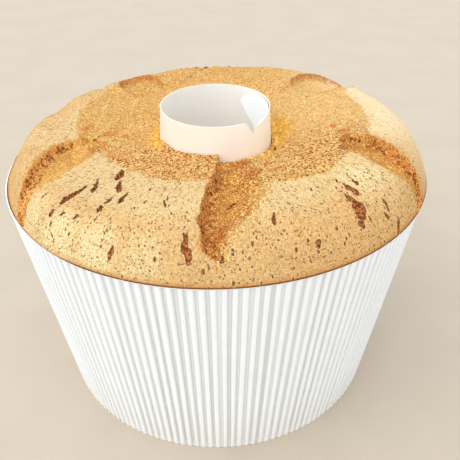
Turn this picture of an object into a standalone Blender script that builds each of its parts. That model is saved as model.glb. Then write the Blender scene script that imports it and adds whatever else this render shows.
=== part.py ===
"""A chiffon cake still in the paper mould that it was baked in.

Origin at the centre of the underside, +Z up. The front of the cake faces -Y.
Sizes are in millimetres, and become metres where the meshes are made. Azimuths
are in degrees, counterclockwise from +X.
"""

import math
from collections import namedtuple

import bmesh
import bpy
from mathutils import Vector, noise

MM = 0.001
GAP = 0.3

# Ribbed paper cup
CUP_HEIGHT = 102
RIM_RADIUS = 90
BASE_RADIUS = 75
RIB_COUNT = 152
RIB_DEPTH = 0.8
RIB_PHASE = 0.9
PAPER_THICKNESS = 0.5
DISC_THICKNESS = 1.0
DISC_STEPS = 72

# Rolled paper tube through the middle. Its outer end lies at LAP_AZIMUTH. Inside,
# the sheet runs on as a second layer that ends in a slanted tab.
TUBE_RADIUS = 23.1
TUBE_TOP = 128.4
TUBE_PAPER = 0.6
TUBE_STEP = 7.5
LAP_AZIMUTH = -46
LAP_STEP = 1.0
LAP_CURL = 1.0
LAP_DROP = 3.0
NOTCH_DEPTH = 4.4
NOTCH_WIDTH = 13
TAB_START = 30
TAB_END = 59
TAB_FOOT_DROP = 18
TAB_TIP_DROP = 5

# Crown of the cake, in heights over the cup's rim
CROWN_RISE = 14.6
CROWN_LEAN = 5.1
SHOULDER_RADIUS = 62
SHOULDER_POWER = 4.9
WELL_RISE = 9.2
COLLAR_RISE = 15.0
COLLAR_FROM = -147
COLLAR_TO = -86
SHOWN_RIM = 1.0
SHOWN_RIM_AZIMUTH = -163
SHOWN_RIM_REACH = 45
LOBE_PUFF = 1.0
LOBE_REACH = 17
LUMP_HEIGHT = 0.6
LUMP_SIZE = 13
LIP_HEIGHT = 0.9
LIP_REACH = 4

# Detail of the cake's mesh
CAKE_STEPS = 144
WELL_RINGS = 12
SHOULDER_RINGS = 12

# A crack opens from its inner to its outer radius, and its middle runs from one
# azimuth to the other. It is widest at a share of its length. Its wall side, -1 or
# 1, is the steep one, clockwise or counterclockwise of the middle. The crust may
# stand up as a lip past its outer end.
Crack = namedtuple("Crack", "inner outer start end width widest depth wall_side end_lip")
CRACKS = (
    Crack(0, 84, -62, -90, 22, 0.68, 6.5, -1, 0),
    Crack(47, 90, -180, -146, 27, 0.35, 4.5, -1, 0),
    Crack(48, 90, -24, -26, 18, 0.50, 4.5, 1, 0),
    Crack(0, 79, 40, 43, 24, 0.80, 3.5, 1, 2.4),
    Crack(70, 86, 91, 91, 6, 0.50, 2.0, 1, 0),
    Crack(0, 79, 132, 127, 24, 0.75, 3.5, 1, 1.2),
)
CRACK_SHALLOW_RADIUS = 27
CRACK_LEAST_MAIN_WIDTH = 10
CRACK_RAGGED = 0.3

# A slit is a short split in the crust, from an inner to an outer point.
Slit = namedtuple("Slit", "inner start outer end width depth")
SLITS = (
    Slit(74.5, -98, 86.5, -95, 3.4, 2.0),
    Slit(68, -47, 76, -47.5, 2.4, 1.6),
    Slit(73, -51.5, 83.5, -50.5, 4.0, 1.8),
    Slit(63, -140, 79, -134, 2.8, 1.6),
    Slit(45, -142, 53, -135, 2.8, 1.6),
    Slit(52, -133, 59, -127.5, 2.2, 1.4),
    Slit(57, -123.5, 66.5, -120.5, 2.2, 1.4),
    Slit(84, -113, 88, -113, 2.2, 1.2),
    Slit(82, -42.5, 85.5, -42, 2.0, 1.2),
)
SLIT_LEAST_WIDTH = 3.4


def clear_scene():
    for obj in list(bpy.data.objects):
        bpy.data.objects.remove(obj, do_unlink=True)


def paint(obj, name, color, roughness):
    material = bpy.data.materials.new(name)
    material.use_nodes = True
    shader = material.node_tree.nodes["Principled BSDF"]
    shader.inputs["Base Color"].default_value = (*color, 1)
    shader.inputs["Roughness"].default_value = roughness
    shader.inputs["Metallic"].default_value = 0
    obj.data.materials.append(material)


def add_object(name, mesh, collection):
    obj = bpy.data.objects.new(name, mesh)
    collection.objects.link(obj)
    return obj


def object_from_bmesh(name, mesh, collection):
    data = bpy.data.meshes.new(name)
    mesh.to_mesh(data)
    mesh.free()
    return add_object(name, data, collection)


def add_paper(obj, thickness, offset):
    shell = obj.modifiers.new("Paper", "SOLIDIFY")
    shell.thickness = thickness * MM
    shell.offset = offset


def polar_point(radius, azimuth, height):
    """The point in metres at a radius, an azimuth and a height."""
    angle = math.radians(azimuth)
    return Vector((radius * math.cos(angle), radius * math.sin(angle), height)) * MM


def smooth_step(value):
    t = min(max(value, 0.0), 1.0)
    return t * t * (3 - 2 * t)


def turn(degrees):
    """The same turn between -180 and 180 degrees."""
    return (degrees + 180) % 360 - 180


def cup_clear_radius(height):
    """Radius of what fits inside the cup at a height, clear of the ribs."""
    over_ribs = BASE_RADIUS + (RIM_RADIUS - BASE_RADIUS) * height / CUP_HEIGHT
    return over_ribs - RIB_DEPTH - 1.1 * PAPER_THICKNESS - GAP


def turned(name, profile, steps, collection):
    """A closed profile of (radius, height) turned about Z, as a finished mesh."""
    mesh = bpy.data.meshes.new(name)
    edges = [(i, (i + 1) % len(profile)) for i in range(len(profile))]
    mesh.from_pydata([polar_point(r, 0, z) for r, z in profile], edges, [])
    obj = add_object(name, mesh, collection)
    screw = obj.modifiers.new("Turn", "SCREW")
    screw.steps = steps
    screw.render_steps = steps
    screw.use_merge_vertices = True
    screw.merge_threshold = 0.01 * MM
    graph = bpy.context.evaluated_depsgraph_get()
    obj.data = bpy.data.meshes.new_from_object(obj.evaluated_get(graph))
    obj.data.name = name
    obj.modifiers.clear()
    return obj


def crack_along(crack, radius):
    """Share of the crack's length at a radius, 0 at its inner and 1 at its outer end."""
    return (radius - crack.inner) / (crack.outer - crack.inner)


def crack_across(crack, radius, azimuth):
    """Distance from the crack's middle, positive on its wall side."""
    middle = crack.start + (crack.end - crack.start) * crack_along(crack, radius)
    return math.radians(turn(azimuth - middle)) * radius * crack.wall_side


def crack_half_width(crack, radius):
    """Half the crack's width at a radius, a little ragged along its edge."""
    along = crack_along(crack, radius)
    if not 0 < along < 1:
        return 0.0
    bend = math.log(0.5) / math.log(crack.widest)
    half = crack.width / 2 * math.sin(math.pi * along**bend) ** 0.7
    ragged = noise.noise(Vector((radius / 5, crack.start, 0.5)))
    return half * (1 + CRACK_RAGGED * ragged)


def crack_depth(crack, radius, azimuth):
    """Depth below the crust: a steep wall on one side, a floor that climbs across."""
    half = crack_half_width(crack, radius)
    if half <= 0:
        return 0.0
    across = crack_across(crack, radius, azimuth) / half
    if abs(across) >= 1:
        return 0.0
    wall = smooth_step((1 - across) / 0.3)
    floor = smooth_step((across + 1) / 1.2)
    opened = smooth_step(half / 4) * smooth_step((radius - CRACK_SHALLOW_RADIUS) / 15)
    return crack.depth * wall * floor * opened


def crack_lip(crack, radius, azimuth):
    """Height of the lip that the crust raises along the crack's wall or at its end."""
    across = crack_across(crack, radius, azimuth)
    if radius >= crack.outer:
        side = smooth_step(1 - abs(across) / (crack.width / 2))
        return crack.end_lip * side * math.exp((crack.outer - radius) / LIP_REACH)
    half = crack_half_width(crack, radius)
    if half <= 0 or across < half:
        return 0.0
    return LIP_HEIGHT * math.exp((half - across) / LIP_REACH) * smooth_step(half / 6)


def slit_depth(slit, radius, azimuth):
    along = (radius - slit.inner) / (slit.outer - slit.inner)
    if not 0 < along < 1:
        return 0.0
    middle = slit.start + (slit.end - slit.start) * along
    across = abs(math.radians(turn(azimuth - middle)) * radius)
    half = max(slit.width, SLIT_LEAST_WIDTH) / 2 * math.sin(math.pi * along) ** 0.5
    return slit.depth * smooth_step(1.6 * (1 - across / max(half, 0.1)))


def cake_edge(azimuth):
    """Radius of the crown at the rim, drawn in where the paper's edge shows."""
    away = abs(turn(azimuth - SHOWN_RIM_AZIMUTH)) / SHOWN_RIM_REACH
    return RIM_RADIUS - SHOWN_RIM * (1 - smooth_step(away))


def well_height(azimuth):
    """Height where the cake meets the tube: low, but full along the front collar."""
    rise = smooth_step((azimuth - COLLAR_FROM + 8) / 16)
    fall = smooth_step((COLLAR_TO + 4 - azimuth) / 8)
    return WELL_RISE + (COLLAR_RISE - WELL_RISE) * rise * fall


def crown_height(radius, azimuth):
    """Height of the cake's top over the cup's rim."""
    lean = CROWN_LEAN * math.cos(math.radians(azimuth))
    if radius < SHOULDER_RADIUS:
        well = well_height(azimuth)
        along = (radius - TUBE_RADIUS) / (SHOULDER_RADIUS - TUBE_RADIUS)
        height = well + (CROWN_RISE + lean - well) * (1 - (1 - along) ** 2)
        weight = 1.0
    else:
        along = (radius - SHOULDER_RADIUS) / (cake_edge(azimuth) - SHOULDER_RADIUS)
        along = min(along, 1.0)
        weight = 1 - along**SHOULDER_POWER
        height = CROWN_RISE * weight + lean * (1 - along)
    main_cracks = [crack for crack in CRACKS if crack.width > CRACK_LEAST_MAIN_WIDTH]
    nearest = min(abs(crack_across(crack, radius, azimuth)) for crack in main_cracks)
    puff = LOBE_PUFF * (1 - math.exp(-((nearest / LOBE_REACH) ** 2)))
    puff *= smooth_step((radius - 35) / 25)
    lump = noise.noise(polar_point(radius, azimuth, 0) / (LUMP_SIZE * MM)) * LUMP_HEIGHT
    lip = max(crack_lip(crack, radius, azimuth) for crack in CRACKS)
    cuts = [crack_depth(crack, radius, azimuth) for crack in CRACKS]
    cuts += [slit_depth(slit, radius, azimuth) for slit in SLITS]
    return height + (puff + lump + lip) * weight - max(cuts) * weight**0.4


def cake_profile(top):
    """(radius, height) round the cake's section, with its top still flat."""
    rim = CUP_HEIGHT + GAP
    hole = TUBE_RADIUS + GAP
    foot = DISC_THICKNESS + GAP
    points = []
    for i in range(WELL_RINGS):
        points.append((hole + (SHOULDER_RADIUS - hole) * i / WELL_RINGS, top))
    for i in range(SHOULDER_RINGS + 1):
        share = math.sin(math.pi / 2 * i / SHOULDER_RINGS)
        points.append((SHOULDER_RADIUS + (RIM_RADIUS - SHOULDER_RADIUS) * share, top))
    points.append((cup_clear_radius(CUP_HEIGHT), rim))
    points.append((cup_clear_radius(foot), foot))
    points.append((hole, foot))
    return points


def build_cake(collection):
    """A turned ring whose flat top is then raised into the cracked crown."""
    top = CUP_HEIGHT + CROWN_RISE
    obj = turned("cake", cake_profile(top), CAKE_STEPS, collection)
    for vertex in obj.data.vertices:
        x, y, z = vertex.co / MM
        if z < top - GAP:
            continue
        radius = math.hypot(x, y)
        azimuth = math.degrees(math.atan2(y, x))
        share = (radius - SHOULDER_RADIUS) / (RIM_RADIUS - SHOULDER_RADIUS)
        radius += max(share, 0) * (cake_edge(azimuth) - RIM_RADIUS)
        height = CUP_HEIGHT + 2 * GAP + crown_height(radius, azimuth)
        vertex.co = polar_point(radius, azimuth, height)
    obj.data.shade_smooth()
    obj.data.set_sharp_from_angle(angle=math.radians(50))
    paint(obj, "crust", (0.79, 0.52, 0.24), 0.85)


def build_cup_wall(collection):
    """One sheet with a rib and a groove at each pitch, given its paper thickness."""
    mesh = bmesh.new()
    points = 2 * RIB_COUNT
    columns = []
    for i in range(points):
        azimuth = RIB_PHASE + 360 * i / points
        groove = RIB_DEPTH * (i % 2)
        foot = mesh.verts.new(polar_point(BASE_RADIUS - groove, azimuth, 0))
        rim = mesh.verts.new(polar_point(RIM_RADIUS - groove, azimuth, CUP_HEIGHT))
        columns.append((foot, rim))
    for left, right in zip(columns, columns[1:] + columns[:1]):
        mesh.faces.new((left[0], right[0], right[1], left[1]))
    obj = object_from_bmesh("cup_wall", mesh, collection)
    add_paper(obj, PAPER_THICKNESS, -1)
    paint(obj, "ribbed_paper", (0.90, 0.90, 0.89), 0.6)


def build_cup_base(collection):
    """A plain disc with a hole for the tube."""
    hole = TUBE_RADIUS + GAP
    edge = cup_clear_radius(0)
    profile = [(hole, DISC_THICKNESS), (edge, DISC_THICKNESS), (edge, 0), (hole, 0)]
    obj = turned("cup_base", profile, DISC_STEPS, collection)
    paint(obj, "base_paper", (0.90, 0.90, 0.89), 0.6)


def tube_section(azimuth):
    """(radius, foot, top) of the rolled sheet at an azimuth that counts on past 360."""
    inside = azimuth - (LAP_AZIMUTH + 360)
    radius = TUBE_RADIUS - TUBE_PAPER / 2
    radius -= LAP_STEP * smooth_step((inside + NOTCH_WIDTH) / (NOTCH_WIDTH + 2))
    radius -= LAP_CURL * smooth_step(inside / (TAB_END - LAP_AZIMUTH))
    notch = NOTCH_DEPTH * smooth_step((inside + NOTCH_WIDTH) / NOTCH_WIDTH)
    rise = (NOTCH_DEPTH - LAP_DROP) * smooth_step(inside / NOTCH_WIDTH)
    foot = 0.0
    tab = (azimuth - 360 - TAB_START) / (TAB_END - TAB_START)
    if tab > 0:
        foot = TUBE_TOP - TAB_FOOT_DROP + (TAB_FOOT_DROP - TAB_TIP_DROP) * tab
    return radius, foot, TUBE_TOP - notch + rise


def build_center_tube(collection):
    """The sheet rolled from its outer end to the tip of its inner tab."""
    mesh = bmesh.new()
    last = TAB_END + 360
    count = round((last - LAP_AZIMUTH) / TUBE_STEP)
    columns = []
    for i in range(count + 1):
        azimuth = LAP_AZIMUTH + (last - LAP_AZIMUTH) * i / count
        radius, foot, top = tube_section(azimuth)
        ends = [mesh.verts.new(polar_point(radius, azimuth, z)) for z in (foot, top)]
        columns.append(ends)
    for left, right in zip(columns, columns[1:]):
        mesh.faces.new((left[0], right[0], right[1], left[1]))
    obj = object_from_bmesh("center_tube", mesh, collection)
    add_paper(obj, TUBE_PAPER, 0)
    obj.data.shade_smooth()
    paint(obj, "tube_paper", (0.88, 0.87, 0.85), 0.5)


def main():
    clear_scene()
    collection = bpy.data.collections.new("chiffon_cake")
    bpy.context.scene.collection.children.link(collection)
    build_cake(collection)
    build_cup_wall(collection)
    build_cup_base(collection)
    build_center_tube(collection)


main()
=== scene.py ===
import math
import random

import bpy
import numpy as np
from mathutils import Matrix, Vector, noise


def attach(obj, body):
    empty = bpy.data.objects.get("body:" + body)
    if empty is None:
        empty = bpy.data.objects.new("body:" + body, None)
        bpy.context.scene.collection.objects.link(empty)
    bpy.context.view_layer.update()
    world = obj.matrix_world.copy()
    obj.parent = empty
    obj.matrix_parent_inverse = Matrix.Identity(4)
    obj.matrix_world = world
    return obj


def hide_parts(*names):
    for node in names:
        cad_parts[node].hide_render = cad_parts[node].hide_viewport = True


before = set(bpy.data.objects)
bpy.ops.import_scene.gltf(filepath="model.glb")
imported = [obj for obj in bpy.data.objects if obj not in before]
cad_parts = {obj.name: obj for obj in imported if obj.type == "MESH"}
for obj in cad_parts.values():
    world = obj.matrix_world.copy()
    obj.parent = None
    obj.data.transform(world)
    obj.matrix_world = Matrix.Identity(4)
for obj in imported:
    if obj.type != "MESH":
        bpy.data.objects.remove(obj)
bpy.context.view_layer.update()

# Chiffon cake in its ribbed paper mould, with a rolled paper tube in the middle.
# Sizes are in millimetres and azimuths in degrees, counterclockwise from +X.
# The front of the cake faces -Y.

mm = 0.001


def tint(red, green, blue):
    # a screen colour, 0 to 255, as the light values that a shader takes
    channels = (red / 255, green / 255, blue / 255)
    linear = [c / 12.92 if c < 0.04 else ((c + 0.055) / 1.055) ** 2.4 for c in channels]
    return (*linear, 1)


class Wire:
    # one output of a node; sums on it add Math nodes
    def __init__(self, finish, node, out):
        self.finish, self.node, self.socket = finish, node, node.outputs[out]

    def other(self, out):
        return Wire(self.finish, self.node, out)

    def sum(self, operation, first, second):
        return self.finish.node("Math", {"operation": operation}, {0: first, 1: second})

    def __add__(self, value):
        return self.sum("ADD", self, value)

    def __radd__(self, value):
        return self.sum("ADD", value, self)

    def __sub__(self, value):
        return self.sum("SUBTRACT", self, value)

    def __rsub__(self, value):
        return self.sum("SUBTRACT", value, self)

    def __mul__(self, value):
        return self.sum("MULTIPLY", self, value)

    def __rmul__(self, value):
        return self.sum("MULTIPLY", value, self)


class Finish:
    # a material with its nodes
    def __init__(self, name, **uniform):
        self.material = bpy.data.materials.new(name)
        self.material.use_nodes = True
        self.tree = self.material.node_tree
        self.shader = self.tree.nodes["Principled BSDF"]
        for socket, value in uniform.items():
            self.feed(self.shader.inputs[socket], value)

    def feed(self, socket, value):
        if isinstance(value, Wire):
            self.tree.links.new(value.socket, socket)
        else:
            socket.default_value = value

    def node(self, kind, settings=None, sockets=None, out=0):
        made = self.tree.nodes.new("ShaderNode" + kind)
        for key, value in (settings or {}).items():
            setattr(made, key, value)
        for key, value in (sockets or {}).items():
            self.feed(made.inputs[key], value)
        return Wire(self, made, out)

    def place(self):
        # the point on the object, in millimetres
        spot = self.node("TexCoord", out="Object")
        return self.node("VectorMath", {"operation": "SCALE"}, {0: spot, "Scale": 1 / mm})

    def stored(self, name, out="Fac"):
        return self.node("Attribute", {"attribute_name": name}, out=out)

    def cloud(self, where, size, detail=2.0, rough=0.5, out=0):
        sockets = {"Vector": where, "Scale": 1 / size, "Detail": detail, "Roughness": rough}
        return self.node("TexNoise", None, sockets, out)

    def cells(self, where, size):
        # the way to the middle of the nearest cell; its other output is the cell's own Color
        return self.node("TexVoronoi", None, {"Vector": where, "Scale": 1 / size})

    def pores(self, cells, spread, least, soft, shaken=None):
        # holes in the middles of cells, each as wide as its cell's own colour says
        reach = self.node("SeparateColor", None, {0: cells.other("Color")}) * spread + least
        return self.step(shaken or cells, reach, reach - soft)

    def bend(self, where, size, reach):
        # the point pushed about, so that cells lose their round shape
        shake = self.cloud(where, size, 1.0, out="Color")
        centred = self.node("VectorMath", {"operation": "SUBTRACT"}, {0: shake, 1: (0.5, 0.5, 0.5)})
        push = self.node("VectorMath", {"operation": "SCALE"}, {0: centred, "Scale": reach})
        return self.node("VectorMath", {"operation": "ADD"}, {0: where, 1: push})

    def step(self, value, low, high):
        # 0 at low and 1 at high, smooth between
        settings = {"interpolation_type": "SMOOTHSTEP"}
        return self.node("MapRange", settings, {"Value": value, "From Min": low, "From Max": high})

    def mix(self, share, first, second):
        return self.node("Mix", {"data_type": "RGBA"}, {0: share, 6: first, 7: second}, out=2)

    def relief(self, height, strength):
        # height is in millimetres
        sockets = {"Height": height, "Distance": mm, "Strength": strength}
        self.feed(self.shader.inputs["Normal"], self.node("Bump", None, sockets))

    def colour(self, value):
        self.feed(self.shader.inputs["Base Color"], value)


def smoothStep(value):
    t = np.clip(value, 0, 1)
    return t * t * (3 - 2 * t)


def between(value, low, high):
    # 0 up to low and 1 from high, smooth between
    return smoothStep((value - low) / (high - low))


def turn(degrees):
    # the same direction between -180 and 180
    return (degrees + 180) % 360 - 180


def softNoise(points, size, shift):
    # from -1 to 1 at each point, in blobs about as wide as size
    return np.array([noise.noise(p) for p in (points / size + shift).tolist()])


def layered(points, layers):
    # soft noise in layers of height, size and shift
    return sum(height * softNoise(points, size, shift) for height, size, shift in layers)


def spotted(x, y, spots):
    # how much of the spots, each an x, y, reach and amount, lies on each point
    most = np.zeros(x.shape)
    for sx, sy, reach, amount in spots:
        most = np.maximum(most, amount * smoothStep(1.3 - np.hypot(x - sx, y - sy) / reach))
    return most


def addPiece(name, points, faces, finish, marks):
    # marks are numbers stored at the points, which the finish reads by name
    mesh = bpy.data.meshes.new(name)
    mesh.from_pydata((np.asarray(points) * mm).tolist(), [], faces)
    mesh.materials.append(finish.material)
    for key, values in marks.items():
        layer = mesh.attributes.new(key, "FLOAT", "POINT")
        layer.data.foreach_set("value", np.asarray(values, float))
    mesh.shade_smooth()
    piece = bpy.data.objects.new(name, mesh)
    bpy.context.scene.collection.objects.link(piece)
    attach(piece, "root")
    return piece


def gridFaces(rows, columns):
    # quads between rows of points, each row going all the way round
    faces = []
    for row in range(rows - 1):
        near, far = row * columns, (row + 1) * columns
        for i in range(columns):
            k = (i + 1) % columns
            faces.append((near + i, far + i, far + k, near + k))
    return faces


view = {
    "lens": 48.52,
    "sensor": 36,
    "picture": 460,  # its width and height in pixels
    "aim": (6.0, 0.0, 64.1),
    "distance": 297.3,
    "elevation": 34.3,
    "roll": -0.35,
    "clip": (0.01, 20),  # in metres
}


def cameraPlace():
    # in millimetres; the camera looks along its own -Z
    tilt = math.radians(view["elevation"])
    back = [view["distance"] * k for k in (0, -math.cos(tilt), math.sin(tilt))]
    place = Matrix.Translation([a + b for a, b in zip(view["aim"], back)])
    pitch = Matrix.Rotation(math.radians(90) - tilt, 4, "X")
    return place @ pitch @ Matrix.Rotation(math.radians(view["roll"]), 4, "Z")


cake = {
    "cupHeight": 102.0,
    "rimRadius": 90.0,
    "baseRadius": 72.4,
    "tubeRadius": 24.5,
    "foot": 1.3,
    "tucked": ((89.3, 101.9), (87.9, 100.5)),  # radius and height where the crust meets the paper
    "overRim": 0.5,
    "overhang": 0.5,
    "crustLift": 1.2,  # how far over the rim's height and the base form the crust mostly lies
    "rise": 14.6,
    "lean": 5.1,  # the right side stands higher than the left
    "shoulderRadius": 62.0,
    "shoulderPower": 4.9,
    "wellRise": 9.6,  # where the crumb meets the tube
    "wellFront": (2.0, -82, 30),  # it climbs a little where the front crack starts
    "collarRise": 13.9,  # and the front left lobe stays high there
    "collar": (-168, 14, -86, 1),  # from and to, each with how softly
    "shownRim": 1.5,  # the paper's edge shows at the far left
    "shownRimAt": (-163, 45),
    "puff": 1.0,  # how far the lobes between the cracks swell
    "lobeReach": 17.0,
    "lipHeight": 0.9,
    "lipReach": 4.0,
    "crumbInset": 0.5,  # open crumb lies this far under the crust
    "columns": 720,
    "rings": 131,
    "quickGrid": (480, 100),
    "frontBias": 0.2,  # columns stand closer together at the front
    # uneven surfaces, as layers with their height, the size of their blobs and a shift
    "ragged": ((0.8, 5, 3.1), (0.8, 2.4, 7.7), (0.4, 1.0, 1.3)),
    "bubbly": ((1.0, 1.7, 20.4), (0.6, 0.9, 31.0)),
    "lumps": ((0.6, 13.0, 0.0),),
    "grain": ((0.06, 1.5, 12.0),),
    "ringGrain": ((0.3, 1.3, 4.4), (0.2, 0.8, 8.8), (0.4, 3.6, 6.6)),
    "ringWave": ((1.2, 6, 9.9),),
    "crumbGrain": ((0.5, 2.2, 5.5),),
    "crumbWave": ((4.0, 6, 2.2),),
    # where the browned ring round the tube ends, as azimuth and radius
    "ringEdge": (
        (-180, 60), (-163, 49), (-141, 45.5), (-100, 45), (-88, 45), (-72, 52), (-60, 57),
        (-47, 62), (-35, 60), (-20, 65), (0, 64.5), (23, 64), (32, 74), (55, 84), (115, 84),
        (137, 73), (156, 69.5), (165, 66), (180, 60),
    ),
    # where soft yellow crumb shows next to the tube: its radius, how much further it reaches at
    # an azimuth, and over how many degrees
    "softCrumb": (33.5, 5, 12, 38),
    "softCrumbGap": (-116, 28, 6),  # none under the front left lobe
    # small crumbs that stand up at the back, as x, y, radius and height
    "crumbs": ((-12.5, 80.5, 2.4, 1.2), (-6, 81, 1.6, 0.9), (0, 81.5, 3.2, 1.5), (5.5, 81, 2.4, 1.2)),
    # bright ones against the tube
    "flakes": (
        (25.6, 11, 1.0, 1.2), (26.2, 5, 1.2, 1.9), (26.2, -2.5, 1.0, 1.0), (26, -7.5, 1.2, 1.7),
        (22.3, -15, 1.2, 0.9), (19.3, -18.3, 1.2, 0.8), (14.5, -21.6, 1.4, 0.9), (-26.2, 3, 1.0, 0.7),
    ),
    # where the crown stands a little lower
    "dents": ((-74.5, 33, 11, 1.7), (-60, 56, 5, 1.4), (66, 51.5, 5, 1.8)),
    # where the pale crust is milkier and where it is duskier, as x, y, reach and amount
    "milky": (
        (-68, -55, 10, 0.7), (-56, -70, 12, 1.0), (-41, -79, 11, 0.9), (-24, -85, 9, 0.6),
        (-74, 0, 12, 0.3), (57, -49, 13, 0.9), (47, -45, 9, 0.6),
    ),
    "dusky": ((34, -80, 14, 0.8), (52, -70, 16, 1.0), (66, -59, 15, 1.0), (13, -83, 12, 0.35)),
}

# Each crack is a path of x, y and half width from the tube outwards. Its wall is the
# steep side: 1 on the right of the path, -1 on its left and 0 all round its outer end.
# depth is how deep it is, and inner the share of that where it starts. open and bare tell
# between which shares of the path the crumb and the wall come to show, wide how wide the
# wall is, late how far its bubbles spread over the floor at the outer end, lip how far the
# crust stands up past that end, fray how broken the side across from the wall is, glow how
# light the crumb is, and toasted where it is browner, as x, y, reach and amount.
cracks = {
    "front": {
        "path": (
            (8.5, -24, 6.5), (9, -41, 8.5), (8.4, -50, 10.5), (7.3, -57, 11), (5.6, -64.5, 9.4),
            (3.2, -70, 7.6), (1.8, -74.5, 6.2), (1.2, -78.5, 5.2), (1.0, -80.5, 4.6),
        ),
        "wall": 1, "depth": 5.5, "inner": 0.0, "open": (-0.2, -0.1), "bare": (0.16, 0.36),
        "wide": 3.2, "late": 3.5, "lip": 0.0, "fray": 1.0, "glow": 0.0,
        "toasted": (
            (12, -28, 5, 0.75), (16.5, -38, 6, 0.9), (0.5, -74, 8, 1.0), (-1, -38, 6, 0.7),
            (-2, -62, 6, 0.7), (4, -52, 3, 0.3), (33, -33, 4, 0.5),
        ),
    },
    "left": {
        "path": (
            (-49.5, -9.5, 1.5), (-55.5, -6, 8), (-60, -13, 9.6), (-63.5, -21.5, 8.2),
            (-65.8, -30.5, 7.4), (-68.8, -38.5, 5.9), (-72.2, -44.5, 4.0), (-73.4, -51, 2.7),
        ),
        "wall": 1, "depth": 3.6, "inner": 0.1, "open": (0.0, 0.1), "bare": (0.0, 0.1),
        "wide": 2.8, "late": 3.5, "lip": 0.0, "fray": 0.1, "glow": 0.9,
        "toasted": (
            (-49, -8, 7, 0.8), (-38, -14, 4, 0.6), (-44, -2, 4, 0.7), (-76.5, -41, 4, 0.5),
            (-75, -49, 4, 0.6),
        ),
    },
    "right": {
        "path": (
            (48, -23, 3), (55, -24, 7), (61.5, -26.3, 8.3), (66, -31, 8.2), (70.5, -34.3, 7.6),
            (75, -36, 5.6), (77.3, -39, 3.8), (78, -42.5, 2),
        ),
        "wall": -1, "depth": 3.8, "inner": 0.1, "open": (0.0, 0.15), "bare": (0.0, 0.1),
        "wide": 2.0, "late": 2.6, "lip": 0.0, "fray": 0.2, "glow": 0.4,
        "toasted": (
            (48, -22, 8, 1.0), (55, -22, 5, 0.6), (39, -16, 5, 0.5), (63, -20, 4.5, 0.6),
            (70, -25.5, 5, 0.7), (75.5, -30.5, 4.5, 0.7), (80, -36, 4, 0.7),
        ),
    },
    "backRight": {
        "path": ((25, 22, 4), (38, 33, 9), (47, 40, 12), (52, 45, 14)),
        "wall": 0, "depth": 2.2, "inner": 0.0, "open": (0.55, 0.85), "bare": (0.55, 0.85),
        "wide": 1.4, "late": 0.0, "lip": 1.4, "fray": 0.0, "glow": 0.0, "toasted": (),
    },
    "backLeft": {
        "path": ((-23, 34, 4), (-31, 46, 7), (-39, 57, 10)),
        "wall": 0, "depth": 2.0, "inner": 0.0, "open": (0.55, 0.85), "bare": (0.55, 0.85),
        "wide": 1.2, "late": 0.0, "lip": 1.0, "fray": 0.0, "glow": 0.0, "toasted": (),
    },
}

# Slits and dark nicks in the crust, each from one point of the picture (column, row)
# to another, with its width in millimetres.
slits = (
    (123, 167, 117.3, 178, 2.9), (120.3, 178, 118, 191.5, 2.4), (128, 191, 119, 203, 2.1),
    (98.5, 177, 92, 191.5, 1.8), (88, 184, 61, 202.5, 3.0), (112.8, 196, 105, 202.5, 1.9),
    (103, 203, 98, 211, 2.0), (52.3, 208, 50.5, 213.5, 2.6), (50.8, 220, 49.6, 225, 1.4),
    (78, 211.5, 75, 217, 1.6), (114, 243, 108.3, 257.5, 2.0), (184, 231, 187.8, 262.5, 2.8),
    (66.5, 211, 60, 213.7, 1.2), (221.5, 250, 222.5, 259.5, 1.6), (248.8, 253, 249.6, 262, 1.3),
    (342, 181.5, 357.5, 193, 2.8), (344, 191.5, 355.5, 200.5, 2.3), (354.5, 200, 360.5, 213, 5.0),
    (358, 219, 363, 224, 2.0), (349, 175.5, 358.5, 183.5, 1.7), (380, 196.5, 389, 209, 1.9),
    (383, 209.5, 388, 218, 1.6), (397.5, 215, 400, 235.5, 2.3), (368.5, 213, 371, 219.5, 1.3),
    (273.5, 210, 274.5, 224, 1.6), (319, 240.5, 319, 244.5, 1.8), (203, 267.5, 204, 269.5, 1.5),
)
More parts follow.
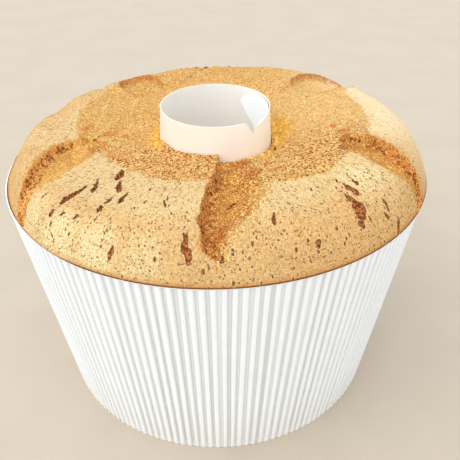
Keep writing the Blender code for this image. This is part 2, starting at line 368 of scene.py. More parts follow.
nicks = (
    (97.5, 216, 95, 221, 1.1), (49, 189, 40, 197, 1.0), (55.5, 202, 51, 206, 0.9),
    (51, 231, 53, 236, 0.9), (70, 231.3, 69.5, 233, 1.2), (88, 203, 85.5, 206, 0.8),
    (112.5, 217, 110.5, 220, 0.9), (112, 226, 104, 233, 1.0), (101.5, 244, 101, 246, 0.9),
    (151, 186, 149.5, 190, 1.1), (148, 201, 143.5, 204, 1.0), (135.3, 207, 134, 210, 1.0),
    (164.5, 200, 165.5, 208, 1.2), (168.5, 195, 167, 201, 0.9), (164.5, 187, 165, 188.5, 1.1),
    (171, 212, 171.5, 214, 1.1), (170, 222, 170.5, 224, 0.9), (162.7, 223, 162, 225, 1.0),
    (149, 228, 149, 230, 1.1), (184.5, 224.5, 185, 227, 1.1), (154, 257.5, 155, 259, 1.1),
    (122, 274.5, 123.5, 275.5, 0.9), (253.5, 239, 252, 243.5, 1.6), (257, 233, 256, 237, 1.3),
    (260, 219, 259.5, 223, 1.0), (268, 225.5, 268, 227, 1.0), (278.5, 237, 278, 239.5, 1.0),
    (297, 248, 295.5, 250, 1.1), (306.7, 237, 307.3, 241, 1.1), (318.5, 236, 321, 240, 1.1),
    (317, 249, 319, 251.5, 1.1), (310, 257, 311, 260, 1.2), (292.3, 277, 293.7, 278, 1.0),
    (271.5, 273.3, 273.5, 274, 0.9), (232.3, 279.8, 234.3, 279, 1.1), (260.5, 281, 261.5, 283, 0.9),
    (205.5, 249.5, 208, 251.5, 0.8), (231, 246, 234, 248, 1.1), (231.5, 251, 234, 252, 0.9),
    (239.8, 266, 239.5, 268, 0.9), (327, 205, 329, 210.5, 1.1), (312.5, 213.5, 313, 215, 1.0),
    (344.5, 234.5, 347, 237, 1.1), (345, 239, 343.5, 241.5, 1.0), (335, 225, 338, 226.5, 1.0),
    (336, 182.5, 336.5, 187, 1.0), (317, 190.5, 316.5, 193, 1.1), (318.5, 184, 319, 186, 0.9),
    (313.5, 177, 314, 182, 0.9), (310, 184, 311.5, 190, 1.1), (372.5, 221, 375, 227, 1.0),
    (334.5, 176, 337.5, 180.5, 1.1), (274.6, 143.6, 275, 147.4, 1.6), (98.4, 148, 99.8, 149, 2.2),
    (173, 152.8, 174.8, 153.4, 1.1), (346, 171.5, 349.5, 177, 0.9), (355, 166, 359, 170, 0.6),
    (340, 162, 345, 168, 0.7), (399, 197, 401, 200, 0.9), (407, 205, 408, 206, 1.0),
    (383.5, 239, 384, 241, 1.0), (368, 245, 369, 247, 1.0), (330, 249.5, 331, 251, 1.1),
    (287, 200, 289, 204, 1.0),
)
# Hollows on the floor of the front crack.
hollows = (
    (231.6, 202.7, 234, 201.2, 4.4), (230.4, 204.6, 229.6, 206.2, 2.2),
    (216, 240.5, 214.3, 244.5, 1.2), (203.5, 231, 202, 233, 1.1), (234, 214, 236, 212.5, 0.9),
    (229.5, 219, 230.5, 220, 0.8),
)
# Scorched spots on the ring, as column, row and reach in millimetres.
scorched = (
    (86, 128.6, 2.6), (111.8, 132.3, 2.6), (124, 135.5, 2.1), (164.5, 145.2, 0.9),
    (342.7, 131, 2.2), (332.7, 125.6, 1.6), (273, 168.5, 2.2), (267, 162, 1.4), (99, 148.3, 1.2),
    (104, 144, 1.6), (96, 140, 1.4),
)
# The lists above with their depth, how dark they are, how far under the crust they lie and
# how much narrower they are than the picture's blur makes them.
seenMarks = (
    (slits, 1.7, 0.0, 0.0, 0.9),
    (nicks, 1.1, 1.0, 0.0, 0.82),
    (hollows, 1.5, 1.0, 4.6, 0.82),
)

# Small nicks strewn at random, and some larger slits among them at the back.
pits = {
    "count": 110,
    "seed": 4,
    "from": (48, 87),  # radii
    "over": (-25, 205),  # azimuths; the front has its own
    "end": 88,
    "length": (0.5, 2.6),
    "width": (0.5, 0.9),
    "depth": 0.9,
    "skew": 1.2,
    "slitEvery": 7,
    "slitFrom": (76, 81),
    "slitOver": (15, 170),
    "slitLength": (3.5, 9.0),
    "slitWidth": (1.3, 2.4),
    "slitSkew": 4,  # times the nicks' skew
    "bead": 1.0,  # they are chains of bubbles about this far apart
}


def ontoPlan(radius, azimuth):
    angle = math.radians(azimuth)
    return radius * math.cos(angle), radius * math.sin(angle)


def alongPath(x, y, path):
    # for each point: how far inside the stroke, how far to its right, half width, share along
    inside = np.full(x.shape, -1e9)
    right, half, share = np.zeros(x.shape), np.ones(x.shape), np.zeros(x.shape)
    steps = [math.dist(a[:2], b[:2]) for a, b in zip(path, path[1:])]
    gone = 0.0
    for (ax, ay, aw), (bx, by, bw), length in zip(path, path[1:], steps):
        dx, dy = (bx - ax) / length, (by - ay) / length
        t = np.clip((x - ax) * dx + (y - ay) * dy, 0, length)
        wide = aw + (bw - aw) * t / length
        depth = wide - np.hypot(x - ax - t * dx, y - ay - t * dy)
        better = depth > inside
        inside[better] = depth[better]
        right[better] = ((x - ax) * dy - (y - ay) * dx)[better]
        half[better] = wide[better]
        share[better] = ((gone + t) / sum(steps))[better]
        gone += length
    return inside, right, half, share


def baseRise(radius, azimuth):
    # the crown over the rim with no cracks in it, the share of any relief that it takes there
    # and the radius of its edge
    c = cake
    lean = c["lean"] * np.cos(np.radians(azimuth))
    away = np.abs(turn(azimuth - c["shownRimAt"][0])) / c["shownRimAt"][1]
    edge = c["rimRadius"] - c["shownRim"] * (1 - smoothStep(away))
    start, startSoft, end, endSoft = c["collar"]
    up = between(turn(azimuth - start), -startSoft, startSoft)
    down = between(end - azimuth, -endSoft, endSoft)
    climb, at, spread = c["wellFront"]
    well = c["wellRise"] + climb * np.exp(-((turn(azimuth - at) / spread) ** 2))
    well = well + (c["collarRise"] - well) * up * down
    inner = (radius - c["tubeRadius"]) / (c["shoulderRadius"] - c["tubeRadius"])
    hill = well + (c["rise"] + lean - well) * (1 - (1 - np.clip(inner, 0, 1)) ** 2)
    outer = np.clip((radius - c["shoulderRadius"]) / (edge - c["shoulderRadius"]), 0, 1)
    weight = 1 - outer ** c["shoulderPower"]
    return np.where(inner < 1, hill, c["rise"] * weight + lean * (1 - outer)), weight, edge


def seenAt(column, row, sunk=0.0):
    # the plan point where the camera's ray through a point of the picture meets the crust
    eye = cameraPlace()
    focal, middle = view["lens"] / view["sensor"] * view["picture"], view["picture"] / 2
    ray = eye.to_3x3() @ Vector(((column - middle) / focal, (middle - row) / focal, -1))
    low, high = cake["cupHeight"] - 4, cake["cupHeight"] + 26
    for _ in range(24):  # each round halves the stretch that the point lies in
        z = (low + high) / 2
        x, y = (eye.translation + ray * ((z - eye.translation.z) / ray.z)).xy
        radius = min(max(math.hypot(x, y), 24), 89.9)
        crown = float(baseRise(radius, math.degrees(math.atan2(y, x)))[0])
        crust = cake["cupHeight"] + cake["crustLift"] + crown - sunk
        low, high = (low, z) if z > crust else (z, high)
    return x, y


def ringRadii():
    # radii with even steps along the crown's slope
    c = cake
    fine = np.linspace(c["tubeRadius"], c["rimRadius"], 2000)
    height = baseRise(fine, np.full(fine.shape, -60.0))[0]
    walked = np.concatenate([[0], np.cumsum(np.hypot(np.diff(fine), np.diff(height)))])
    return np.interp(np.linspace(0, walked[-1], c["rings"]), walked, fine), walked[-1]


def beaded(start, end, width, draw):
    # a slit as a path whose half width swells and shrinks, a little off its line
    ax, ay = start
    bx, by = end
    length = math.dist(start, end)
    count = max(2, round(2 * length / pits["bead"]))
    path = []
    for i in range(count + 1):
        share = i / count
        swell = draw.uniform(0.42, 0.58) if i % 2 else draw.uniform(0.16, 0.34)
        taper = min(1.0, 0.3 + 1.3 * share, 0.45 + 2.6 * (1 - share))  # thinner at the upper end
        off = draw.uniform(-0.22, 0.22) * width
        x, y = ax + (bx - ax) * share, ay + (by - ay) * share
        path.append((x - (by - ay) / length * off, y + (bx - ax) / length * off, width * swell * taper))
    return path


def allSlits(openCrumb):
    # as paths, each with its depth and 1 where it is dark
    p = pits
    draw = random.Random(p["seed"])
    strokes = []
    for marks, deep, dark, sunk, slim in seenMarks:
        for c1, r1, c2, r2, width in marks:
            start, end = seenAt(c1, r1, sunk), seenAt(c2, r2, sunk)
            strokes.append((beaded(start, end, width * slim, draw), deep, dark))
    count = len(strokes) + p["count"]
    while len(strokes) < count:
        far, way = draw.uniform(*p["from"]), draw.uniform(*p["over"])
        chance = draw.random() ** 2  # most are short
        slit = len(strokes) % p["slitEvery"] == 0 and p["slitOver"][0] < way < p["slitOver"][1]
        far = draw.uniform(*p["slitFrom"]) if slit else far
        length, width = (p["slitLength"], p["slitWidth"]) if slit else (p["length"], p["width"])
        reach = far + length[0] + (length[1] - length[0]) * chance
        skew = draw.uniform(-p["skew"], p["skew"]) * (p["slitSkew"] if slit else 1)
        start, end = ontoPlan(far, way), ontoPlan(min(reach, p["end"]), way + skew)
        if not any(openCrumb(*place) for place in np.linspace(start, end, 6)):
            path = beaded(start, end, draw.uniform(*width), draw)
            strokes.append((path, p["depth"], 0.0 if slit else 1.0))
    return strokes


def crackRelief(x, y, ragged, bubbly):
    # at each point: how far the floor drops and the lips rise, how far the nearest crack is,
    # and marks for the finish
    c = cake
    keys = ("drop", "lift", "wall", "fray", "glow", "brown", "seared")
    found = {key: np.zeros(x.shape) for key in keys}
    found["crack"], found["nearest"] = np.full(x.shape, -20.0), np.full(x.shape, 1e9)

    def most(key, values):
        found[key] = np.maximum(found[key], values)

    for shape in cracks.values():
        inside, right, half, share = alongPath(x, y, shape["path"])
        inside = inside + ragged * smoothStep(half / 6)
        crest = shape["wall"] == 0
        across = right * shape["wall"]
        fromWall = inside if crest else half - across + ragged
        late = between(share, *shape["open"])
        bare = between(share, *shape["bare"])
        spread = shape["wide"] + shape["late"] * between(share, 0.45, 0.8)
        begun = share - 0.3 if crest else share
        opened = shape["inner"] + (1 - shape["inner"]) * smoothStep(begun / 0.4)
        steep = 1 - (1 - np.clip(fromWall / shape["wide"], 0, 1)) ** 2
        broken = smoothStep(0.5 - 1.4 * across / half) * shape["fray"]
        # the floor climbs to the side across from the wall, nearly all the way where that is frayed
        low = 0.02 + 0.28 * (1 - shape["fray"])
        floor = 1.0 if crest else low + (1 - low) * smoothStep((half + across) / (1.4 * half))
        brink = smoothStep(inside / 0.7) * (1 - late) + late * smoothStep(inside / 0.5)
        depth = shape["depth"] * opened * steep * floor * brink
        depth = depth + c["crumbInset"] * late * brink * smoothStep(2 * opened) * (1 - broken)
        depth *= 1 - 0.35 * smoothStep((6 - half) / 5)  # shallower where it is narrow
        rough = 0.4 + 0.4 * smoothStep((spread + 1 - fromWall) / 2)
        most("drop", depth - rough * bubbly * late * smoothStep(inside / 2))
        if crest:
            most("brown", 0.95 * smoothStep((1.1 - np.abs(inside + 0.2)) / 0.9) * bare)
        else:
            onWall = smoothStep((spread + 0.7 - fromWall) / 1.8) * smoothStep(inside / 0.4) * bare
            most("wall", onWall)
            most("seared", onWall * smoothStep((2.4 - fromWall) / 1.6))
            most("crack", np.where(share > 0, inside, -3) - 6 * (1 - late))
            most("fray", np.where(inside > -5, broken, 0))
            most("glow", np.where(inside > -2, shape["glow"], 0))
        behind = smoothStep((-inside + 0.5) / 1.0) * np.exp(np.minimum(inside, 0) / c["lipReach"])
        most("lift", c["lipHeight"] * behind * smoothStep(across / 3) * smoothStep(half / 6))
        most("lift", shape["lip"] * behind * smoothStep((share - 0.6) / 0.3))
        found["nearest"] = np.minimum(found["nearest"], np.abs(right))
    return found


def slitRelief(x, y, ragged, openCrumb):
    # at each point: how far inside a slit it lies, whether that slit is dark, and its depth
    pit, dark, hollow = np.full(x.shape, -5.0), np.zeros(x.shape), np.zeros(x.shape)
    for path, deep, small in allSlits(openCrumb):
        (ax, ay, _), (bx, by, _) = path[0], path[-1]
        away = np.hypot(x - (ax + bx) / 2, y - (ay + by) / 2)
        near = np.flatnonzero(away < math.dist((ax, ay), (bx, by)) / 2 + 5)
        inside = alongPath(x[near], y[near], path)[0] + 0.25 * ragged[near] * min(path[1][2], 1)
        dark[near] = np.where(inside > pit[near], small, dark[near])
        pit[near] = np.maximum(pit[near], inside)
        hollow[near] = np.maximum(hollow[near], deep * smoothStep((inside + 0.2) / 0.8))
    return pit, dark, hollow


def crustShape(quick):
    # the crown's points, the angles of its columns, marks for the finish, and the point that
    # each one had before the crust stretched
    c = cake
    if quick:
        c["columns"], c["rings"] = c["quickGrid"]
    radii, slope = ringRadii()
    phase = 2 * np.pi * np.arange(c["columns"]) / c["columns"]
    around = phase - c["frontBias"] * np.cos(phase)
    radius = np.repeat(radii, c["columns"])
    angle = np.tile(around, c["rings"])
    azimuth = turn(np.degrees(angle))
    x, y = radius * np.cos(angle), radius * np.sin(angle)
    flat = np.column_stack([x, y, np.zeros(x.shape)])
    rise, weight, edge = baseRise(radius, azimuth)
    arc = np.repeat(np.linspace(slope, 0, c["rings"]), c["columns"])  # distance up from the rim
    # the crust was stretched more the higher it rose
    flow = np.column_stack([70 * np.cos(angle), 70 * np.sin(angle), 20 * np.log(1 + arc / 20)])

    ragged = layered(flat, c["ragged"])
    marks = crackRelief(x, y, ragged, layered(flat, c["bubbly"]))
    drop, lift, nearest = (marks.pop(key) for key in ("drop", "lift", "nearest"))
    for column, row, reach in scorched:
        sx, sy = seenAt(column, row)
        spot = smoothStep(1.4 - np.hypot(x - sx, y - sy) / reach + 0.5 * ragged)
        marks["brown"] = np.maximum(marks["brown"], spot)
    puff = c["puff"] * (1 - np.exp(-((nearest / c["lobeReach"]) ** 2))) * smoothStep((radius - 35) / 25)
    rise += (puff + lift + layered(flat, c["lumps"])) * weight
    for sx, sy, reach, high in c["crumbs"] + c["flakes"]:
        rise += high * smoothStep(1.2 - np.hypot(x - sx, y - sy) / reach + 0.3 * ragged)
    rise -= spotted(x, y, c["dents"])

    def openCrumb(px, py):
        near = np.argmin((x - px) ** 2 + (y - py) ** 2)
        return marks["crack"][near] > -1.2 or marks["wall"][near] > 0.2 or marks["brown"][near] > 0.05

    marks["pit"], marks["dark"], hollow = slitRelief(x, y, ragged, openCrumb)
    rise -= (drop + hollow) * weight**0.4

    edges = np.array(c["ringEdge"], float)
    ring = np.interp(azimuth, edges[:, 0], edges[:, 1]) - radius + layered(flat, c["ringWave"])
    rise += smoothStep((ring + 1) / 2) * layered(flat, c["ringGrain"]) + layered(flat, c["grain"])
    reach, further, at, over = c["softCrumb"]
    reach = reach + further * np.exp(-((turn(azimuth - at) / over) ** 2))
    reach = reach + layered(flat, c["crumbWave"])
    gapAt, gapHalf, gapEdge = c["softCrumbGap"]
    crumb = smoothStep((reach - radius) / 9)
    crumb *= smoothStep((np.abs(turn(azimuth - gapAt)) - gapHalf) / gapEdge)
    rise += crumb * layered(flat, c["crumbGrain"])

    outer = np.clip((radius - c["shoulderRadius"]) / (c["rimRadius"] - c["shoulderRadius"]), 0, 1)
    radius = radius + outer * (edge + c["overhang"] - c["rimRadius"])
    height = c["cupHeight"] + c["overRim"] + rise
    points = np.column_stack([radius * np.cos(angle), radius * np.sin(angle), height])
    marks.update({
        "ring": ring,
        "crumb": crumb,
        "arc": arc,
        "toast": spotted(x, y, [spot for shape in cracks.values() for spot in shape["toasted"]]),
        "flake": spotted(x, y, [(*flake[:3], 1.0) for flake in c["flakes"]]),
        "milky": np.maximum(spotted(x, y, c["milky"]), 0.4 * smoothStep((arc - 20) / 12)),
        "dusky": spotted(x, y, c["dusky"]),
        "coarse": 0.5 + 0.5 * smoothStep((10 - y) / 35),
        # painted highlight: paler at the right; plainer, with long streaks, at the left
        "highlight": smoothStep(1.6 - np.abs(turn(azimuth - 22)) / 31)
        * (0.35 + 0.65 * smoothStep((radius - 60) / 14)),
        "plain": smoothStep(2 - np.abs(turn(azimuth - 172)) / 25) * smoothStep((radius - 50) / 14),
    })
    return points, around, marks, flow


def closeCake(points, around):
    # the parts inside the paper: tucked rim, side, underside and the hole for the tube
    c = cake
    circle = np.column_stack([np.cos(around), np.sin(around)])
    corners = (*c["tucked"], (c["baseRadius"], c["foot"]), (c["tubeRadius"], c["foot"]))
    rows = [np.column_stack([circle * radius, np.full(len(circle), z)]) for radius, z in corners]
    return np.vstack([points, *rows])


# Screen colours of the crust and the crumb. Where there are two, a noise mixes them.
crustTones = {
    "pale": ((208, 169, 111), (197, 158, 100)),
    "milky": ((220, 200, 146), (232, 216, 166)),
    "dusky": ((206, 156, 94), (222, 176, 112)),
    "paleGrain": (223, 191, 135),
    "paleSpeck": (158, 106, 58),
    "streak": (188, 136, 76),
    "plainStreak": (168, 110, 56),
    # painted highlight where the crust catches the light at the right
    "highlight": (236, 214, 172),
    "hole": (110, 58, 20),
    "ring": ((230, 189, 114), (199, 146, 75)),
    "ringFleck": (246, 214, 158),
    "ringDot": ((172, 100, 46), (104, 46, 14)),
    "ringBlotch": (204, 136, 62),
    # the same painted highlight on the ring
    "ringHighlight": (240, 204, 144),
    "scorch": ((214, 144, 74), (168, 94, 40)),
    "crumb": ((242, 186, 100), (204, 132, 54)),
    "crumbBlotch": (198, 118, 50),
    "crumbHole": (128, 66, 24),
    "crumbFleck": (255, 212, 134),
    "crumbGlow": ((250, 206, 120), (222, 166, 84)),
    "crumbToast": ((214, 132, 62), (146, 76, 26)),
    "soft": ((250, 202, 100), (222, 160, 66)),
    "softHole": (150, 88, 34),
    "flake": (255, 218, 124),
    "torn": ((255, 202, 114), (224, 143, 68)),
    "tornEdge": (204, 118, 52),
    "bubble": ((170, 74, 24), (108, 38, 8)),
    "tornGlow": (244, 186, 108),
    "tornToast": ((234, 156, 80), (174, 98, 40)),
    "slit": ((200, 130, 72), (124, 60, 25)),
    "slitSpeck": (100, 44, 16),
    # painted shadow for the slits' edges
    "slitEdgeShade": (112, 56, 24),
    # a slit's pale rim: partly the crust's own edge, partly painted highlight
    "slitLipSheen": (246, 220, 162),
    "nick": (124, 70, 32),
    "nearRim": (190, 130, 66),
    "rimLine": (134, 80, 36),
    "flaky": ((250, 212, 136), (206, 146, 74)),
}


def bakedCrust():
    f = Finish("bakedCrust", **{"Roughness": 0.85, "Specular IOR Level": 0.2})
    place = f.place()
    flow = f.stored("flow", "Vector")
    crack, wall, fray, toast = (f.stored(name) for name in ("crack", "wall", "fray", "toast"))
    pit, dark, ring, crumb = (f.stored(name) for name in ("pit", "dark", "ring", "crumb"))
    arc, coarse, highlight, plain = (f.stored(name) for name in ("arc", "coarse", "highlight", "plain"))
    milky, dusky, brown, glow = (f.stored(name) for name in ("milky", "dusky", "brown", "glow"))
    seared, flake = f.stored("seared"), f.stored("flake")

    speck = f.cloud(place, 0.5, 2.0, 0.55)
    grain = f.cloud(place, 0.95, 2.0, 0.6)
    streak = f.cloud(flow, 0.7, 2.0, 0.6)
    blotch = f.cloud(place, 5, 3.0, 0.6)
    patch = f.cloud(place, 14, 2.0)
    ragged = f.cloud(place, 1.3, 3.0, 0.65) - 0.5
    islands = f.cloud(place, 2.4, 2.0, 0.6) - 0.5
    specks, softSpecks = f.step(speck, 0.42, 0.58), f.step(speck, 0.4, 0.6)
    grains = f.step(grain, 0.42, 0.58)

    inCrack = f.step(crack + ragged * (fray * 8.0 + 1.2) + islands * fray * 10.0, -0.5, -0.1)
    onWall = f.step(wall + ragged * 1.8, 0.3, 0.8)
    onEdge = f.step(seared + ragged * 0.8, 0.25, 0.75)  # the wall's upper edge
    inPit = f.step(pit + ragged * 0.5, -0.12, 0.12)
    inRing = f.step(ring + ragged * 3.5 + islands * (coarse * 10 - 5), -0.5, 0.5)

    def over(below, share, name):
        # a tone of crustTones laid over another colour
        return f.mix(share, below, tint(*crustTones[name]))

    def mottled(share, name):
        # two tones mixed by a noise
        first, second = crustTones[name]
        return f.mix(share, tint(*first), tint(*second))

    # pale crust with small holes stretched along the slope
    pale = mottled(f.step(patch, 0.35, 0.65), "pale")
    pale = over(pale, grains * 0.7, "paleGrain")
    pale = f.mix(milky * 0.95, pale, mottled(grains, "milky"))
    pale = f.mix(dusky * 0.55, pale, mottled(grains, "dusky"))
    pale = over(pale, f.step(streak, 0.5, 0.66) * 0.6, "streak")
    pale = over(pale, f.step(streak, 0.6, 0.66) * plain * 0.7, "plainStreak")
    pale = over(pale, f.step(speck, 0.55, 0.65) * 0.6, "paleSpeck")
    # painted highlight: the crust painted paler at the right, where it catches the light
    pale = over(pale, highlight * 0.75, "highlight")
    bent = f.bend(flow, 1.0, 1.1)
    fineHoles = f.pores(f.cells(bent, 0.76), 0.47, -0.05, 0.07)
    bigHoles = f.pores(f.cells(bent, 1.75), 0.33, -0.16, 0.04)
    holes = f.node("Math", {"operation": "MAXIMUM"}, {0: fineHoles * 0.78, 1: bigHoles})
    # fewer holes show in the painted highlight and on the plain crust
    holes = holes * (1 - highlight * 0.7) * (1 - plain * 0.6)
    pale = over(pale, holes, "hole")

    # browned ring, speckled, coarser at the front
    browned = mottled(softSpecks, "ring")
    browned = over(browned, f.step(speck, 0.46, 0.36) * coarse * 0.7, "ringFleck")
    dots = f.cells(f.bend(place, 1.0, 1.1), 0.86)
    inDot = f.pores(dots, 0.62, 0.14, 0.14, dots + (speck - 0.5) * 0.5)
    browned = f.mix(inDot * coarse, browned, mottled(specks, "ringDot"))
    browned = over(browned, f.step(blotch, 0.53, 0.66) * 0.5, "ringBlotch")
    # painted highlight on the ring at the right
    browned = over(browned, highlight * 0.6, "ringHighlight")

    # open crumb, golden and browner in places
    golden = mottled(softSpecks, "crumb")
    golden = over(golden, f.step(blotch, 0.48, 0.58) * 0.6, "crumbBlotch")
    golden = over(golden, f.step(grain, 0.55, 0.63) * (fray * 0.5 + 0.4), "crumbHole")
    golden = over(golden, f.step(grain, 0.42, 0.34) * 0.7, "crumbFleck")
    golden = f.mix(glow * 0.5, golden, mottled(softSpecks, "crumbGlow"))
    golden = f.mix(toast * 0.75, golden, mottled(f.step(speck, 0.42, 0.6), "crumbToast"))
    foam = f.cells(f.bend(place, 1.5, 0.9), 1.3)
    yellow = mottled(f.step(foam, 0.15, 0.6), "soft")
    yellow = over(yellow, f.step(grain, 0.56, 0.64) * 0.7, "softHole")

    # torn walls and slits, full of small bubbles
    bubbles = f.cells(f.bend(place, 1.3, 1.3), 1.55)
    inBubble = f.pores(bubbles, 0.35, 0.35, 0.25)
    torn = mottled(specks, "torn")
    torn = over(torn, onEdge * 0.3, "tornEdge")
    torn = f.mix(inBubble * (onEdge * 0.2 + 0.8), torn, mottled(specks, "bubble"))
    torn = over(torn, glow * 0.12, "tornGlow")
    torn = f.mix(toast * 0.7, torn, mottled(specks, "tornToast"))
    red = mottled(f.step(grain, 0.4, 0.58), "slit")
    red = over(red, f.step(speck, 0.5, 0.6) * 0.6, "slitSpeck")
    # painted shadow along each slit's edges, fading towards its middle
    red = over(red, f.step(pit, 0.35, 0.0) * 0.7, "slitEdgeShade")
    red = over(red, dark * 0.75, "nick")

    # all of it, from the skin down to the slits
    skin = f.mix(inRing, pale, browned)
    skin = f.mix(f.step(crumb + ragged * 1.2, 0.0, 1.1), skin, yellow)
    skin = over(skin, flake, "flake")
    skin = f.mix(brown * f.step(grain, 0.3, 0.45), skin, mottled(specks, "scorch"))
    skin = over(skin, f.step(arc, 3.0, 0.4) * 0.6, "nearRim")
    skin = over(skin, f.step(arc, 0.9, 0.3), "rimLine")
    skin = f.mix(inCrack, skin, golden)
    fromEdge = f.node("Math", {"operation": "ABSOLUTE"}, {0: crack})
    flaky = f.step(fromEdge, 3.0, 1.2) * f.step(fray, 0.5, 1.0)
    flaky = flaky * f.step(f.cloud(place, 1.6, 2.0, 0.6), 0.48, 0.56)
    skin = f.mix(flaky * 0.8, skin, mottled(f.step(speck, 0.5, 0.6), "flaky"))
    skin = f.mix(onWall, skin, torn)
    # a pale rim round each slit outside the cracks: partly the crust's own paler edge, partly a painted
    # highlight where the edge catches the light
    lip = f.step(pit, -0.5, -0.2) * (1 - inCrack) * 0.22
    skin = over(skin, lip, "slitLipSheen")
    f.colour(f.mix(inPit, skin, red))

    # fine relief, in millimetres
    within = f.step(crack, -1.5, 1.5)
    whole = 1 - within
    height = speck * 0.14 - holes * whole * (1 - inRing) * 0.45
    height = height - f.step(grain, 0.5, 0.66) * inRing * 0.3
    height = height - f.step(grain, 0.42, 0.62) * within * 0.5 - inBubble * onWall * 0.6
    height = height - inPit * (0.7 - f.step(bubbles, 0.1, 0.5) * 0.4) + flaky * 0.5 + lip * whole * 0.4
    f.relief(height, 0.9)
    return f


def makeCake():
    points, around, marks, flow = crustShape(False)
    allPoints = closeCake(points, around)
    rows = len(allPoints) // len(around)
    faces = gridFaces(rows, len(around))
    last = (rows - 1) * len(around)
    for i in range(len(around)):
        k = (i + 1) % len(around)
        faces.append((last + i, i, k, last + k))
    extra = len(allPoints) - len(points)
    marks = {key: np.concatenate([values, np.full(extra, -5.0)]) for key, values in marks.items()}
    piece = addPiece("crackedCake", allPoints, faces, bakedCrust(), marks)
    layer = piece.data.attributes.new("flow", "FLOAT_VECTOR", "POINT")
    layer.data.foreach_set("vector", np.vstack([flow, allPoints[len(points):]]).ravel())
    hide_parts("cake")
    print("cake:", len(faces), "faces")


cup = {
    "height": 102.0,
    "rimRadius": 90.0,
    "footRadius": 75.0,
    "ribs": 152,
    "ribDepth": 1.15,
    "footDepth": 0.4,  # the ribs are pressed flatter where they meet the floor
    "footHeight": 2.8,
    "bounceHeight": 30.0,  # the floor's light warms the paper up to here
    # how far a rib's edge strays and sways, as shares of the pitch, and how its depth varies
    "uneven": (0.07, 0.04, 0.2),
    "swayHeight": 16.0,
    "seed": 9,
    "firstRib": 0.9,
    "paper": 0.5,
    "smoothBand": 0.9,
    # one rib's section, as shares of its pitch and its depth
    "ridge": (
        (0.02, 0.0), (0.11, 0.1), (0.2, 0.14), (0.29, 0.1), (0.38, 0.0), (0.42, 0.6),
        (0.47, 0.92), (0.58, 1.0), (0.82, 1.0), (0.93, 0.92), (0.98, 0.6),
    ),
    "heights": (0.0, 0.3, 1.2, 2.8, 12, 30, 50, 70, 88, 97, 100.4, 100.9, 101.3, 101.7, 102.0),
}


def whitePaper(name, ribbed=False):
    f = Finish(name, Roughness=0.55)
    place = f.place()
    fibre = f.cloud(place, 0.35, 3.0, 0.6)
    mottled = f.cloud(place, 9, 2.0)
    base = f.mix(f.step(mottled, 0.3, 0.7), tint(248, 252, 255), tint(244, 249, 253))
    base = f.mix(f.step(fibre, 0.45, 0.75) * 0.25, base, tint(236, 238, 239))
    if ribbed:
        # painted shade in the grooves between the ribs, stronger towards the foot
        base = f.mix(f.stored("grooveShade"), base, tint(221, 222, 216))
        # painted warm light bounced from the floor, fading up from the foot, and the paper's edge line
        # at the very bottom
        base = f.mix(f.stored("foot") * 0.7, base, tint(228, 214, 196))
    f.colour(base)
    f.relief(fibre * 0.03, 0.5)
    return f


def makeCup():
    c = cup
    points, grooveShade, foot = [], [], []
    draw = random.Random(c["seed"])
    stray, sway, vary = c["uneven"]
    ribs = []
    for _ in range(c["ribs"]):
        ribs.append((draw.uniform(-stray, stray), draw.uniform(1 - vary, 1 + vary), draw.uniform(0, 6)))
    for z in c["heights"]:
        outer = c["footRadius"] + (c["rimRadius"] - c["footRadius"]) * z / c["height"]
        fade = min(max((c["height"] - c["smoothBand"] + 0.3 - z) / 0.4, 0), 1)
        deep = c["footDepth"] + (c["ribDepth"] - c["footDepth"]) * min(z / c["footHeight"], 1)
        for rib, (off, press, phase) in enumerate(ribs):
            moved = off + sway * math.sin(phase + z / c["swayHeight"])
            for share, high in c["ridge"]:
                depth = deep * (press * (1 - high) * fade + 0.1 * (1 - fade))
                turned = rib + share + 4 * moved * share * (1 - share)
                angle = math.radians(c["firstRib"]) + 2 * math.pi * turned / c["ribs"]
                radius = outer - depth
                points.append((radius * math.cos(angle), radius * math.sin(angle), z))
                # painted shade: full in each groove's hollow, none on the ridge, and less higher up
                grooveShade.append(press * (1 - high) * fade * (1 - 0.35 * z / c["height"]))
                foot.append(1.0 if z == 0 else 0.3 * max(1 - z / c["bounceHeight"], 0))
    columns = c["ribs"] * len(c["ridge"])
    faces = [face[::-1] for face in gridFaces(len(c["heights"]), columns)]
    marks = {"grooveShade": grooveShade, "foot": foot}
    paper = whitePaper("ribbedPaper", ribbed=True)
    piece = addPiece("ribbedCup", points, faces, paper, marks)
    shell = piece.modifiers.new("paper", "SOLIDIFY")
    shell.thickness = c["paper"] * mm
    shell.offset = -1
    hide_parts("cup_wall")
    print("cup:", len(faces), "faces")


def finishBase():
    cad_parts["cup_base"].material_slots[0].material = whitePaper("basePaper").material
    print("base: finish only")


tube = {
    "radius": 23.1,
    "top": 128.4,
    "paper": 0.3,
    "lapAzimuth": -46.0,
    "lapStep": 0.35,
    "lapCurl": 1.3,
    "flare": 1.3,  # wider at the cake's top, and straight again between these heights
    "flareFrom": (80.0, 100.0),
    "lapDrop": 0.6,
    "lapClimb": 40.0,
    "endDip": 2.6,  # the outer end's corner droops
    "notchDepth": 5.7,
    "notchWidth": 13.0,
    "tab": (30.0, 59.0),
    "tabDrops": (18.0, 6.5),
    "tabCorner": 4.4,
    "columns": 240,
    "rows": 18,
}


def tubePaper():
    f = Finish("tubePaper", Roughness=0.5)
    place = f.place()
    fibre = f.cloud(place, 0.5, 3.0, 0.6)
    mottled = f.cloud(place, 12, 2.0)
    # painted light and shade: the paper is painted duller on the left and brighter on the right,
    # evening out the window's light
    across = f.node("SeparateXYZ", None, {0: place})  # a little duller on the left
    base = f.mix(f.step(across, -24, 24), tint(248, 231, 217), tint(255, 252, 239))
    base = f.mix(f.step(mottled, 0.3, 0.7) * 0.2, base, tint(246, 230, 214))
    base = f.mix(f.stored("inner"), base, tint(249, 242, 232))
    # painted highlight: the inner ply's face, which the window lights, is painted pure white
    base = f.mix(f.stored("tab"), base, tint(255, 255, 255))
    f.colour(f.mix(f.step(fibre, 0.45, 0.75) * 0.12, base, tint(236, 232, 226)))
    f.relief(fibre * 0.02, 0.5)
    return f


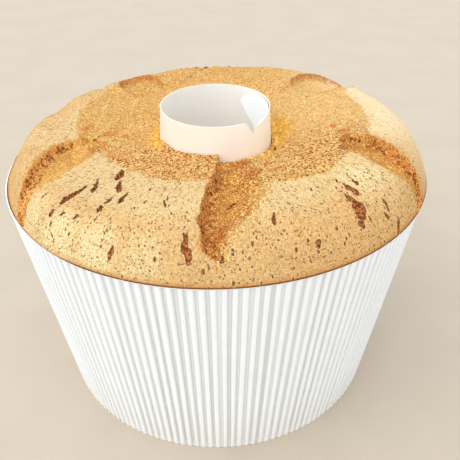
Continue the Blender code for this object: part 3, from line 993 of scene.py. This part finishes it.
def makeTube():
    # one sheet rolled a little more than once round; its inner end leans into the tube
    t = tube
    start, end = t["lapAzimuth"], t["tab"][1] + 360
    count, rows = t["columns"], t["rows"]
    points, inner, tab = [], [], []
    for i in range(count):
        azimuth = start + (end - start) * i / (count - 1)
        within = azimuth - start - 360
        bedded = float(smoothStep((azimuth - start) / 7))  # the outer end lies flat on the roll
        paper = t["paper"] * (0.2 + 0.8 * bedded)
        radius = t["radius"] - paper / 2 - (t["lapStep"] - 0.1) * (1 - bedded)
        radius -= t["lapStep"] * float(smoothStep((within + t["notchWidth"]) / (t["notchWidth"] + 2)))
        radius -= t["lapCurl"] * float(smoothStep(within / (t["tab"][1] - start)))
        dip = t["notchDepth"] * float(smoothStep((within + t["notchWidth"]) / t["notchWidth"]))
        dip -= (t["notchDepth"] - t["lapDrop"]) * float(smoothStep(within / t["lapClimb"]))
        dip += t["endDip"] * (1 - float(smoothStep((azimuth - start) / 42)))
        top, foot = t["top"] - dip, 0.0
        along = (azimuth - 360 - t["tab"][0]) / (t["tab"][1] - t["tab"][0])
        if along > 0:
            foot = t["top"] - t["tabDrops"][0] + (t["tabDrops"][0] - t["tabDrops"][1]) * along**2
            top -= t["tabCorner"] * along**3  # a rounded corner
        ramp = [1 - (1 - row / (rows - 1)) ** 2 for row in range(rows)]
        angle = math.radians(azimuth)
        for side, shares in ((1, ramp), (-1, ramp[::-1])):
            for share in shares:
                z = foot + (top - foot) * share
                wider = t["flare"] * min((t["top"] - z) / 22, 1) * float(between(z, *t["flareFrom"]))
                away = radius + side * paper / 2 + wider
                points.append((away * math.cos(angle), away * math.sin(angle), z))
                inner.append(1.0 if side < 0 else 0.0)
                tab.append(1.0 if side < 0 and within > 0 else 0.0)
    faces = gridFaces(count, 2 * rows)
    faces.append(tuple(range(2 * rows)))
    faces.append(tuple(range(count * 2 * rows - 1, (count - 1) * 2 * rows - 1, -1)))
    marks = {"inner": inner, "tab": tab}
    piece = addPiece("rolledTube", points, faces, tubePaper(), marks)
    piece.data.set_sharp_from_angle(angle=math.radians(50))
    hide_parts("center_tube")
    print("tube:", len(faces), "faces")


stage = {
    "reach": 4.0,  # in metres
    "floor": (tint(195, 181, 162), tint(191, 177, 158)),
    "air": (0.93, 0.97, 1.02),
    "airStrength": 1.16,
    "window": (-0.46, -0.37, 0.8),  # where the soft light comes from
    "windowSpread": 80.0,
    "windowStrength": 1.48,
}


def makeStage():
    mesh = bpy.data.meshes.new("floor")
    reach = stage["reach"]
    corners = [(-reach, -reach, 0), (reach, -reach, 0), (reach, reach, 0), (-reach, reach, 0)]
    mesh.from_pydata(corners, [], [(0, 1, 2, 3)])
    floor = bpy.data.objects.new("floor", mesh)
    bpy.context.scene.collection.objects.link(floor)
    f = Finish("paleFloor", Roughness=0.6)
    grain = f.cloud(f.place(), 40, 3.0)
    f.colour(f.mix(f.step(grain, 0.3, 0.7), *stage["floor"]))
    mesh.materials.append(f.material)
    print("floor: plain and pale")


def makeLight():
    world = bpy.data.worlds.new("studio")
    world.use_nodes = True
    air = world.node_tree.nodes["Background"]
    air.inputs["Color"].default_value = (*stage["air"], 1)
    air.inputs["Strength"].default_value = stage["airStrength"]
    bpy.context.scene.world = world
    light = bpy.data.lights.new("window", "SUN")
    light.angle = math.radians(stage["windowSpread"])
    light.energy = stage["windowStrength"]
    lamp = bpy.data.objects.new("window", light)
    lamp.rotation_mode = "QUATERNION"
    lamp.rotation_quaternion = Vector(stage["window"]).to_track_quat("Z", "Y")
    bpy.context.scene.collection.objects.link(lamp)
    print("light: soft air and a wide window")


def makeCamera():
    data = bpy.data.cameras.new("camera")
    data.lens = view["lens"]
    data.sensor_width = view["sensor"]
    data.clip_start, data.clip_end = view["clip"]
    camera = bpy.data.objects.new("camera", data)
    bpy.context.scene.collection.objects.link(camera)
    place = cameraPlace()
    place.translation *= mm
    camera.matrix_world = place
    bpy.context.scene.camera = camera
    print("camera:", view["lens"], "mm lens")


makeCake()
makeCup()
makeTube()
finishBase()
makeStage()
makeLight()
makeCamera()
bpy.context.scene.view_settings.view_transform = "Standard"

bpy.context.view_layer.update()
